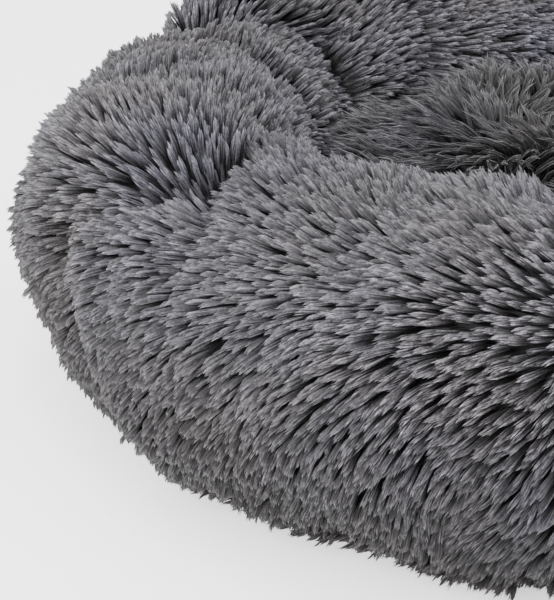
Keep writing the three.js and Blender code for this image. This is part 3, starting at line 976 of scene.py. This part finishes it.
def build_grip():
    low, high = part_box("grip_layer")
    half_length, half_wide = zip_opening()
    margin = CLOTH + 0.0002
    bm, _ = pierced_disc(high.x, half_length + margin, half_wide + margin, high.z - FILM)
    piece = walled(finished(bm, "grip_film", film, "bed"), FILM, 1)
    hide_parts("grip_layer")

    dot = bmesh.new()
    height = high.z - FILM / 2
    bmesh.ops.create_cone(
        dot, cap_ends=True, segments=8, radius1=0.75 * GRIP_DOT, radius2=GRIP_DOT, depth=height,
        matrix=Matrix.Translation((0, 0, height / 2)),
    )
    places = []
    reach = high.x - 1.5 * GRIP_DOT
    rows = int(2 * reach / (GRIP_SPACING * math.sqrt(0.75)))
    for row in range(-rows // 2, rows // 2 + 1):
        y = row * GRIP_SPACING * math.sqrt(0.75)
        for column in range(-rows // 2, rows // 2 + 1):
            x = (column + 0.5 * (row % 2)) * GRIP_SPACING
            over_zip = abs(x) < half_length + 2 * GRIP_DOT and abs(y) < half_wide + 2 * GRIP_DOT
            if math.hypot(x, y) < reach and not over_zip:
                places.append(Matrix.Translation((x, y, 0)))
    dressed(link("grip_dots", repeated("grip_dots", dot, places)), film, "bed")


def stitch_row(name, path, look):
    """Stitches along a path of (place, heading) pairs."""
    stitch = bmesh.new()
    bmesh.ops.create_uvsphere(stitch, u_segments=6, v_segments=4, radius=0.5)
    turned = [Matrix.Translation(place) @ Matrix.Rotation(heading, 4, "Z") @ Matrix.Diagonal((*STITCH, 1.0))
              for place, heading in path]
    return dressed(link(name, repeated(name, stitch, turned)), look, "bed")


def build_binding():
    """The folded tape round the base's edge, and its stitching on the underside."""
    low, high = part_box("edge_binding")
    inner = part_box("base_panel")[1].x + 0.0003
    radius = (inner + high.x) / 2
    bm = bmesh.new()
    fold = bmesh.ops.create_circle(bm, segments=12, radius=1.0, matrix=Matrix.Rotation(math.pi / 2, 4, "X"))["verts"]
    for vert in fold:
        vert.co.x = radius + vert.co.x * (high.x - inner) / 2
        vert.co.z = (low.z + high.z) / 2 + vert.co.z * (high.z - low.z) / 2
    bmesh.ops.spin(
        bm, geom=fold + bm.edges[:], cent=(0, 0, 0), axis=(0, 0, 1), angle=2 * math.pi, steps=192, use_merge=True,
    )
    bmesh.ops.remove_doubles(bm, verts=bm.verts, dist=1e-6)
    bmesh.ops.recalc_face_normals(bm, faces=bm.faces)
    piece = finished(bm, "edge_binding_tape", base_cloth, "bed")
    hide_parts("edge_binding")
    count = int(2 * math.pi * radius / STITCH_PITCH)
    turns = [2 * math.pi * i / count for i in range(count)]
    path = [((radius * math.cos(t), radius * math.sin(t), low.z), t + math.pi / 2) for t in turns]
    stitch_row("binding_stitches", path, thread)


def build_zip_stitches():
    """A row of stitches round the zip opening, on the underside of the film."""
    half_length, half_wide = zip_opening()
    reach, wide = half_length + 0.005, half_wide + 0.005
    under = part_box("grip_layer")[1].z - FILM
    path = []
    for side in (-1, 1):
        for x in np.arange(-reach, reach, STITCH_PITCH):
            path.append(((x + STITCH_PITCH / 2, side * wide, under), 0.0))
        for y in np.arange(-wide, wide - STITCH_PITCH, STITCH_PITCH):
            path.append(((side * reach, y + STITCH_PITCH, under), math.pi / 2))
    stitch_row("zip_opening_stitches", path, thread)


def build_coil(side, node, name):
    """A nylon coil: one thread wound along the tape's edge, flattened to the coil's height."""
    low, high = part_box(node)
    centre = (low + high) / 2
    wide = (high.y - low.y) / 2 - COIL_THREAD
    tall = (high.z - low.z) / 2 - COIL_THREAD
    turns = int((high.x - low.x - 4 * COIL_THREAD) / COIL_PITCH)
    steps = 8
    bm = bmesh.new()
    start = bmesh.ops.create_circle(
        bm, segments=4, radius=COIL_THREAD, matrix=Matrix.Translation((0, wide, 0)))["verts"]
    bmesh.ops.spin(
        bm, geom=start + bm.edges[:], cent=(0, 0, 0), axis=(1, 0, 0), angle=2 * math.pi * turns,
        steps=steps * turns, dvec=(COIL_PITCH / steps, 0, 0), use_merge=False,
    )
    bmesh.ops.holes_fill(bm, edges=[e for e in bm.edges if e.is_boundary])
    for vert in bm.verts:
        vert.co.z *= tall / wide
        vert.co += Vector((centre.x - turns * COIL_PITCH / 2, centre.y, centre.z))
    bmesh.ops.recalc_face_normals(bm, faces=bm.faces)
    piece = finished(bm, name, nylon, "bed")
    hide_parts(node)


def build_pad():
    """Loose wadding under the well, hollowed below to clear the zip."""
    low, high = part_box("base_pad")
    groove_length, groove_wide = zip_opening()[0] + 0.004, zip_opening()[1] + 0.004
    groove_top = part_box("zip_slider")[1].z + 0.001
    soft = 0.002
    bm = bmesh.new()
    shares = np.linspace(0, 1, 9)
    side = [(well_radius(low.z + (high.z - low.z) * s) - 0.001 - soft * (2 * s - 1) ** 4, s) for s in shares]
    rim = [(r, low.z + (high.z - low.z) * s) for r, s in side]
    flats = np.linspace(0, 1, 12)[:-1]
    profile = [(r * rim[0][0], low.z) for r in flats] + rim + [(r * rim[-1][0], high.z) for r in flats[::-1]]
    verts = [bm.verts.new((r, 0, z)) for r, z in profile]
    edges = [bm.edges.new(pair) for pair in zip(verts, verts[1:])]
    bmesh.ops.spin(
        bm, geom=verts + edges, cent=(0, 0, 0), axis=(0, 0, 1), angle=2 * math.pi, steps=96, use_merge=True,
    )
    bmesh.ops.remove_doubles(bm, verts=bm.verts, dist=1e-6)
    for reach, axis in ((groove_wide, (0, 1, 0)), (groove_length, (1, 0, 0))):
        for at in (-reach - soft, -reach, reach, reach + soft):
            bmesh.ops.bisect_plane(
                bm, geom=bm.verts[:] + bm.edges[:] + bm.faces[:], plane_co=Vector(axis) * at, plane_no=axis)
    for vert in bm.verts:
        in_groove = abs(vert.co.x) < groove_length + 1e-5 and abs(vert.co.y) < groove_wide + 1e-5
        lump = noise.noise(vert.co * 30) * 0.0008
        if in_groove and vert.co.z < (low.z + high.z) / 2:
            vert.co.z = groove_top
        elif vert.co.z > (low.z + high.z) / 2:
            vert.co.z -= 0.0008 + lump
    bmesh.ops.recalc_face_normals(bm, faces=bm.faces)
    piece = finished(bm, "base_wadding", wadding, "bed")
    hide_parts("base_pad")


def build_well_floor():
    """The floor cloth under the cushion, with its short nap brushed flat."""
    low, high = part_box("well_floor")
    backing_top = low.z + FLOOR_BACKING
    bm = bmesh.new()
    edge = high.x - 0.0003
    verts = [bm.verts.new((r, 0, z)) for r, z in (
        (0, low.z), (0.5 * edge, low.z), (edge - FLOOR_BACKING, low.z), (edge, low.z + FLOOR_BACKING / 2),
        (edge - FLOOR_BACKING, backing_top), (0.5 * edge, backing_top), (0, backing_top))]
    edges = [bm.edges.new(pair) for pair in zip(verts, verts[1:])]
    bmesh.ops.spin(
        bm, geom=verts + edges, cent=(0, 0, 0), axis=(0, 0, 1), angle=2 * math.pi, steps=128, use_merge=True,
    )
    bmesh.ops.remove_doubles(bm, verts=bm.verts, dist=1e-6)
    bmesh.ops.recalc_face_normals(bm, faces=bm.faces)
    piece = finished(bm, "well_floor_cloth", floor_plush, "bed")
    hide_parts("well_floor")

    reach = edge - NAP_LENGTH
    side = np.arange(-reach, reach, NAP_SPACING)
    x, y = (a.ravel() for a in np.meshgrid(side, side))
    inside = np.hypot(x, y) < reach
    roots = np.stack([x[inside], y[inside], np.full(inside.sum(), backing_top)], -1)
    roots[:, :2] += rng.uniform(-0.45, 0.45, (len(roots), 2)) * NAP_SPACING
    turn = 2.5 * smooth_noise(roots, 6.0, 31.0) + 0.4 * rng.standard_normal(len(roots))
    combs = np.stack([np.cos(turn), np.sin(turn), np.zeros(len(roots))], -1)
    ups = np.tile([0.0, 0.0, 1.0], (len(roots), 1))
    lock = lock_shape(4, [], 0.0014, 0.0004, 0.0, 0.8, SEED + 2)
    still = np.zeros(len(roots))
    lengths = NAP_LENGTH * rng.uniform(0.8, 1.1, len(roots))
    mesh = pile_mesh(
        "well_floor_nap", lock, roots, ups, combs, lengths, still + 12, still - 6, still, still, still, rng)
    dressed(link("well_floor_nap", mesh), cushion_fur, "bed")


def finish_nodes():
    looks = {
        "care_tab": tab_cloth, "zip_tape_front": tape_cloth, "zip_tape_back": tape_cloth,
        "zip_stop_closed_end": zip_metal, "zip_stop_open_end": zip_metal,
        "zip_slider": zip_metal, "zip_puller": zip_metal,
    }
    for node, mat in looks.items():
        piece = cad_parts[node]
        piece.data.materials.clear()
        piece.data.materials.append(mat)


def build_base():
    build_base_cloth()
    build_grip()
    build_binding()
    build_zip_stitches()
    build_pad()
    build_well_floor()
    build_coil(-1, "zip_coil_front", "zip_coil_wound_front")
    build_coil(1, "zip_coil_back", "zip_coil_wound_back")
    finish_nodes()


# ---------------------------------------------------------------- stage, light and camera

CAMERA_PLACE = Vector((0.0, -1.0103, 0.5066))
CAMERA_YAW = -10.82
CAMERA_PITCH = -25.66
CAMERA_LENS = 108.6


def aim(thing, direction):
    thing.rotation_euler = direction.to_track_quat("-Z", "Y").to_euler()


def set_camera():
    camera = bpy.data.objects.new("camera", bpy.data.cameras.new("camera"))
    bpy.context.scene.collection.objects.link(camera)
    yaw, pitch = math.radians(CAMERA_YAW), math.radians(CAMERA_PITCH)
    direction = Vector((math.sin(yaw) * math.cos(pitch), math.cos(yaw) * math.cos(pitch), math.sin(pitch)))
    camera.location = CAMERA_PLACE
    aim(camera, direction)
    camera.data.sensor_fit = "HORIZONTAL"
    camera.data.sensor_width = 36
    camera.data.lens = CAMERA_LENS
    camera.data.clip_start = 0.02
    bpy.context.scene.camera = camera


def area_light(name, place, target, size, power, colour=(1, 1, 1)):
    lamp = bpy.data.lights.new(name, "AREA")
    lamp.shape = "SQUARE"
    lamp.size = size
    lamp.energy = power
    lamp.color = colour
    light = bpy.data.objects.new(name, lamp)
    light.location = place
    aim(light, Vector(target) - Vector(place))
    bpy.context.scene.collection.objects.link(light)


def set_stage():
    bm = bmesh.new()
    bmesh.ops.create_grid(bm, x_segments=1, y_segments=1, size=6)
    mesh = bpy.data.meshes.new("studio_floor")
    bm.to_mesh(mesh)
    bm.free()
    floor = link("studio_floor", mesh)
    mat, nodes, links, shader = material("studio_white")
    shader.inputs["Base Color"].default_value = (0.94, 0.94, 0.94, 1)
    shader.inputs["Emission Color"].default_value = (1, 1, 1, 1)
    shader.inputs["Emission Strength"].default_value = 1.0
    shader.inputs["Roughness"].default_value = 0.9
    mesh.materials.append(mat)
    world = bpy.data.worlds.new("studio")
    world.use_nodes = True
    world.node_tree.nodes["Background"].inputs["Color"].default_value = (1, 1, 1, 1)
    world.node_tree.nodes["Background"].inputs["Strength"].default_value = 2.1
    bpy.context.scene.world = world
    area_light("top_softbox", (-0.3, -0.5, 1.9), (0, 0, 0.1), 1.4, 30, (0.97, 0.98, 1))
    area_light("front_softbox", (-0.75, -2.0, 1.5), (0, 0, 0.1), 1.2, 72, (1, 0.985, 0.965))
    area_light("back_softbox", (0.9, 1.6, 1.3), (0, 0, 0.1), 1.2, 14, (0.97, 0.98, 1))


# ---------------------------------------------------------------- build

set_camera()
set_stage()
build_bolster()
build_cushion()
build_base()
